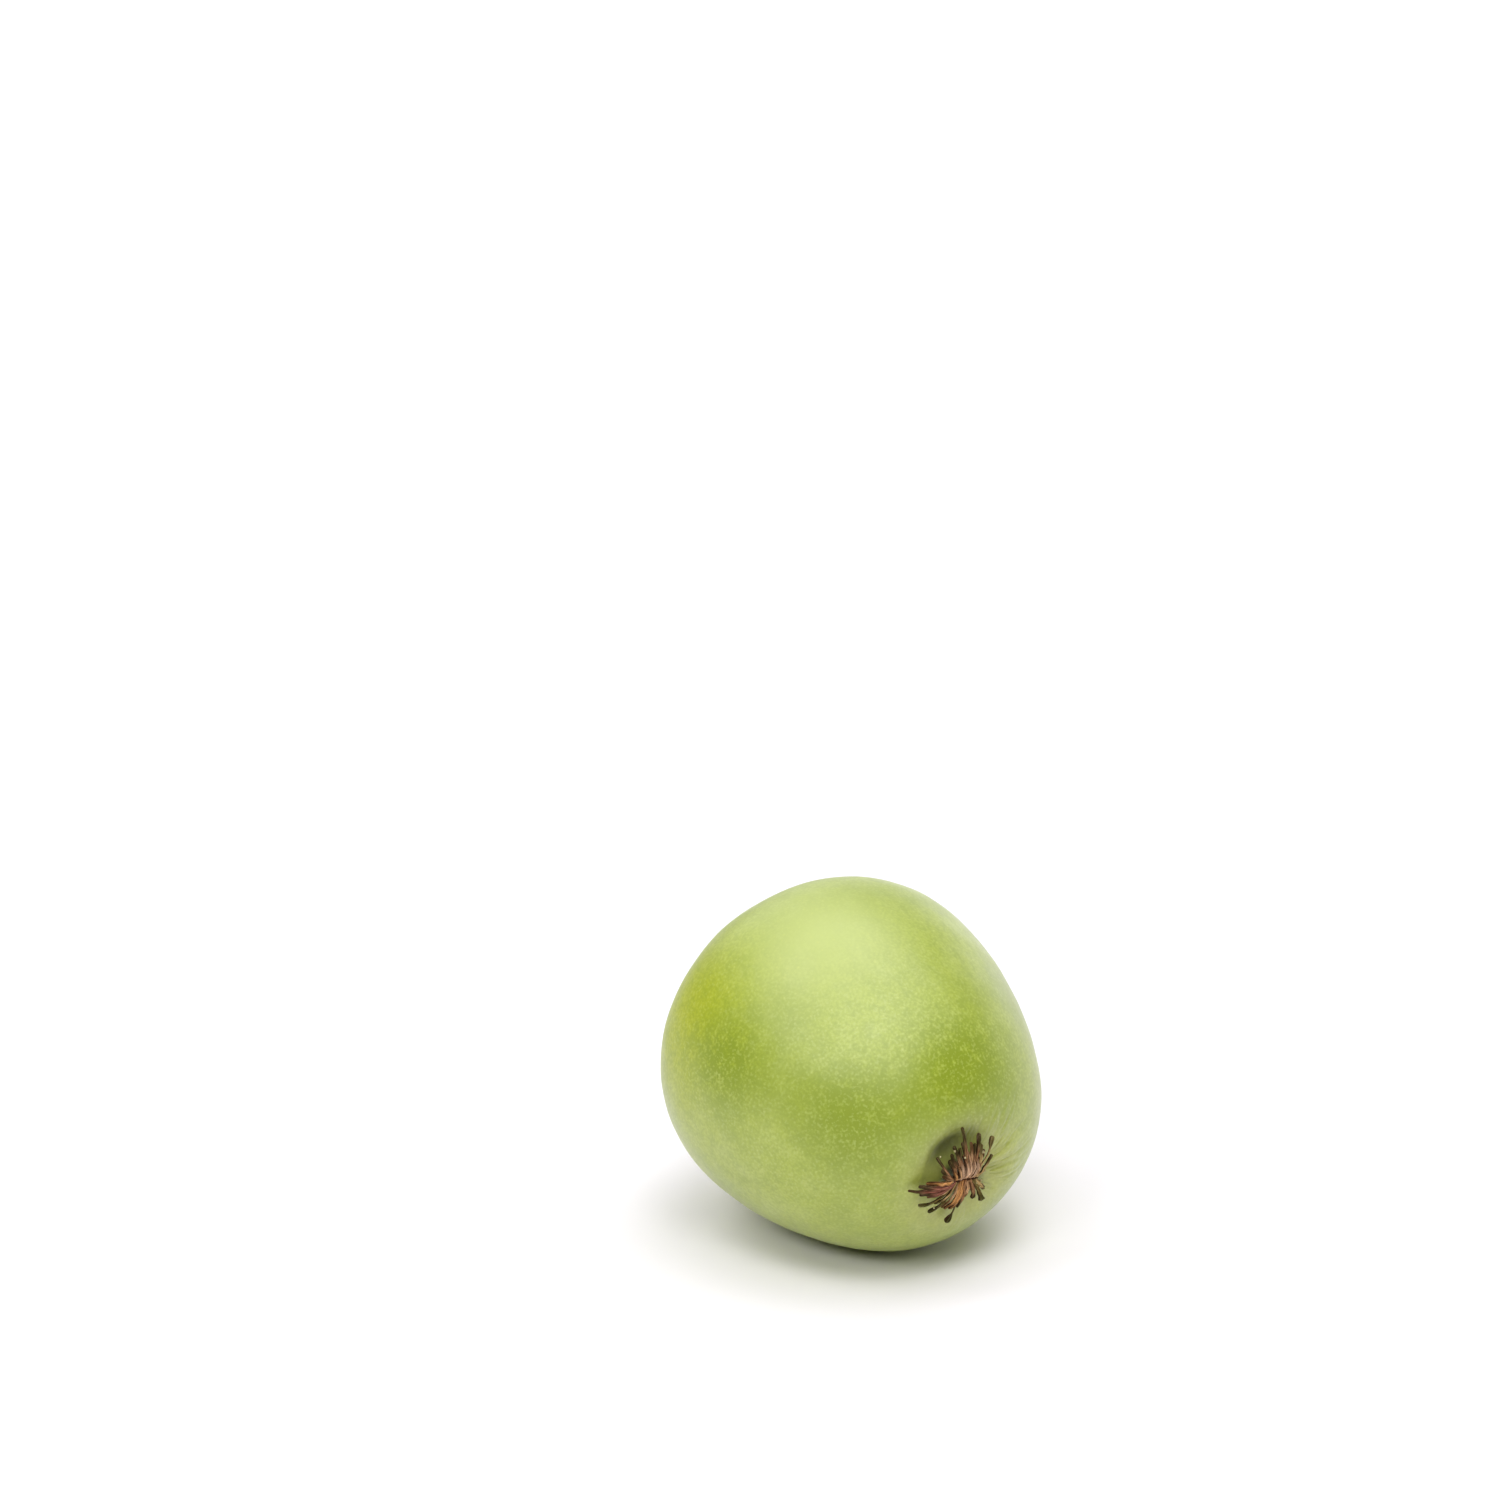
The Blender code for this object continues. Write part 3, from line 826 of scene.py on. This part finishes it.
    def wax(self):
        """How thick the wax is: 1, and less where the skin is bare."""
        return self.tree.math("SUBTRACT", 1.0, self.tree.math("MULTIPLY", self.bare, WAX_LOSS))

    def relief(self):
        """The skin's fine relief, as a normal."""
        tree = self.tree
        pores = tree.noise(self.where, *PORE_NOISE)
        height = tree.math("ADD", tree.math("MULTIPLY", self.grain, GRAIN_RELIEF), pores)
        inputs = {"Strength": 0.12, "Distance": 0.02 * MM, "Height": height}
        return tree.add("Bump", inputs).outputs[0]


def skin_material(to_row):
    """Waxy green skin with fine speckles, yellower and deeper green patches, painted shade, a painted
    highlight, painted reflection at the left rim and a corky scar.
    """
    material = bpy.data.materials.new("berry_skin")
    tree = Tree(material)
    skin = Skin(tree, to_row)
    skin.paint_body()
    skin.paint_dots()
    skin.paint_style_end()
    scar = skin.paint_stem_end()
    shader = tree.add("BsdfPrincipled", {
        "Base Color": skin.colour,
        "Roughness": skin.roughness(scar),
        "Subsurface Weight": 0.25,
        "Subsurface Radius": (1.0, 1.2, 0.35),
        "Subsurface Scale": 1.2 * MM,
        "IOR": 1.5,
        "Specular IOR Level": 0.62,
        "Sheen Weight": 0.07,
        "Sheen Roughness": 0.4,
        "Coat Weight": skin.wax(),
        "Coat Roughness": WAX_ROUGHNESS,
        "Normal": skin.relief(),
    })
    tree.finish(shader.outputs[0])
    return material


def tuft_material(to_row):
    """Dry styles: each point's tone, with painted shade in grooves and undersides, and fine fibres."""
    material = bpy.data.materials.new("dried_styles")
    tree = Tree(material)
    where = fruit_place(tree, to_row)
    tone = tree.add("Attribute", {}, attribute_name="tone").outputs["Color"]
    strand = tree.add("Attribute", {}, attribute_name="fibre").outputs["Vector"]
    fibres = tree.noise(strand, *FIBRE_NOISE)
    specks = tree.noise(where, *SPECK_NOISE)
    dark = tree.mix(1.0, tone, FIBRE_DARK)
    dark.node.blend_type = "MULTIPLY"
    light = tree.mix(FIBRE_LIGHT_SHARE, tone, FIBRE_LIGHT)
    colour = tree.mix(tree.fade(fibres, *FIBRE_TO_DARK), tone, dark)
    colour = tree.mix(tree.fade(fibres, *FIBRE_TO_LIGHT), colour, light)
    colour = tree.mix(tree.fade(specks, *SPECK_TO_DARK), colour, dark)
    height = tree.math("ADD", fibres, tree.math("MULTIPLY", specks, SPECK_RELIEF))
    bump_map = tree.add("Bump", {"Strength": 0.6, "Distance": 0.05 * MM, "Height": height})
    shader = tree.add("BsdfPrincipled", {
        "Base Color": colour,
        "Roughness": 0.8,
        "Specular IOR Level": 0.08,
        "Normal": bump_map.outputs[0],
    })
    tree.finish(shader.outputs[0])
    return material


def floor_material():
    """Matt off-white floor."""
    material = bpy.data.materials.new("floor")
    tree = Tree(material)
    shader = tree.add("BsdfPrincipled", {
        "Base Color": FLOOR_COLOUR,
        "Roughness": 0.7,
        "Specular IOR Level": 0.2,
    })
    tree.finish(shader.outputs[0])
    return material


def make_floor():
    """Wide plain floor at the height that the fruit rests on."""
    signs = ((-1, -1), (1, -1), (1, 1), (-1, 1))
    corners = [(x * FLOOR_HALF, y * FLOOR_HALF, 0.0) for x, y in signs]
    return make_object("floor", corners, [(0, 1, 2, 3)], floor_material())


def direction(turn_deg, height_deg):
    """Level direction turned right from the way the camera looks, then raised."""
    turn = math.radians(CAMERA_TURN_DEG - turn_deg)
    height = math.radians(height_deg)
    level = Vector((-math.sin(turn), math.cos(turn), 0.0))
    return level * math.cos(height) + Vector((0.0, 0.0, math.sin(height)))


def make_lights():
    """Soft panels of light around the fruit. The camera itself sees plain white past the floor."""
    world = bpy.data.worlds.new("studio")
    bpy.context.scene.world = world
    tree = Tree(world)
    way = tree.add("TexCoord", {}).outputs["Generated"]
    level = 0.0
    for turn, height, half_angle, brightness in PANELS:
        towards = direction(turn, height)
        facing = tree.add("VectorMath", {0: way, 1: towards}, operation="DOT_PRODUCT")
        edge = math.cos(math.radians(half_angle))
        panel = tree.fade(facing.outputs["Value"], edge, 1.0, brightness)
        level = tree.math("ADD", panel, level)
    seen = tree.add("LightPath", {}).outputs["Is Camera Ray"]
    level = tree.math("MAXIMUM", level, seen)
    background = tree.add("Background", {"Color": (1.0, 1.0, 1.0, 1.0), "Strength": level})
    tree.add("OutputWorld", {"Surface": background.outputs[0]})


def make_camera(to_row):
    """A long lens at the height and turn that put the fruit's middle at its pixel."""
    data = bpy.data.cameras.new("camera")
    data.lens = LENS_MM
    data.sensor_width = SENSOR_MM
    data.clip_start = NEAR_CLIP
    data.clip_end = FAR_CLIP
    camera = bpy.data.objects.new("camera", data)
    tilt = 0.5 * math.pi - math.radians(CAMERA_PITCH_DEG)
    turned = Matrix.Rotation(math.radians(CAMERA_TURN_DEG), 4, "Z") @ Matrix.Rotation(tilt, 4, "X")
    middle = 0.5 * FRAME_PIXELS
    right = (FRUIT_PIXEL[0] - middle) / PIXELS_PER_MM
    up = (middle - FRUIT_PIXEL[1]) / PIXELS_PER_MM
    depth = LENS_MM / SENSOR_MM * FRAME_PIXELS / PIXELS_PER_MM
    offset = turned @ Vector((right, up, -depth))
    camera.matrix_world = Matrix.Translation(to_row.to_translation() - offset * MM) @ turned
    bpy.context.scene.collection.objects.link(camera)
    bpy.context.scene.camera = camera


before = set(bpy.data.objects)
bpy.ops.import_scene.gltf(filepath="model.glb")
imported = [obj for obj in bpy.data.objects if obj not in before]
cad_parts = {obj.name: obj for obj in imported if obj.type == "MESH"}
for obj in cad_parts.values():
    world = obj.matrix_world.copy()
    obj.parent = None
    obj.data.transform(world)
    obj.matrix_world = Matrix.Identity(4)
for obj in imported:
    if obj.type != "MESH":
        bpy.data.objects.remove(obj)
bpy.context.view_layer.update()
fruit = fruit_to_row()
make_camera(fruit)
make_lights()
make_floor()

skin = make_berry(fruit, skin_material(fruit))
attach(skin, "root")
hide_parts("berry")

styles = make_tuft(fruit, tuft_material(fruit))
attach(styles, "root")
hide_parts("style_tuft")

bpy.context.scene.view_settings.view_transform = "Standard"
